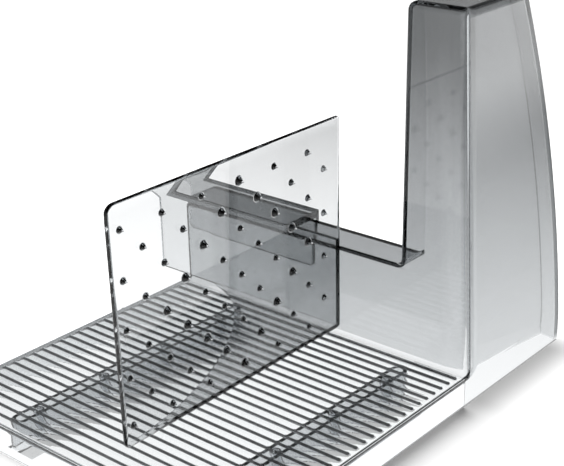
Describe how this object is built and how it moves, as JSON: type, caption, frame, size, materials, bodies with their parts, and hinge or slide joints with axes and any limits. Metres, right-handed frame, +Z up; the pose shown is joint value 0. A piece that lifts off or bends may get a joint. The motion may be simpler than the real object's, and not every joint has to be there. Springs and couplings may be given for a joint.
{
  "type": "food slicer carriage",
  "caption": "Clear plastic food carriage of a slicer: ribbed table with skirt and guide rails, hollow thumb guard, and a spiked pusher plate that slides along the guard's low wall",
  "frame": {"origin": "under the middle of the whole part's box, on the surface that it stands on", "axes": "+X towards the blade side, along the pusher's slide; +Y from the free front edge towards the guard; +Z up"},
  "size_m": [0.1714, 0.2154, 0.1588],
  "materials": {
    "table_plastic": "clear moulded plastic, polished, with a very faint cool grey tint",
    "rail_plastic": "clear moulded plastic, smooth, looks dark along its edges",
    "guard_plastic": "clear moulded plastic, polished, with a very faint cool grey tint",
    "plate_plastic": "clear moulded plastic, polished",
    "saddle_plastic": "clear moulded plastic, polished"
  },
  "bodies": {
    "carriage": {"ribbed_table": "table_plastic", "left_guide_rail": "rail_plastic", "right_guide_rail": "rail_plastic", "back_guard": "guard_plastic"},
    "pusher": {"spiked_plate": "plate_plastic", "pusher_saddle": "saddle_plastic"}
  },
  "joints": [
    {"name": "pusher_slide", "type": "slide", "parent": "carriage", "child": "pusher", "axis": [1, 0, 0], "range_m": [-0.045, 0.057]}
  ]
}
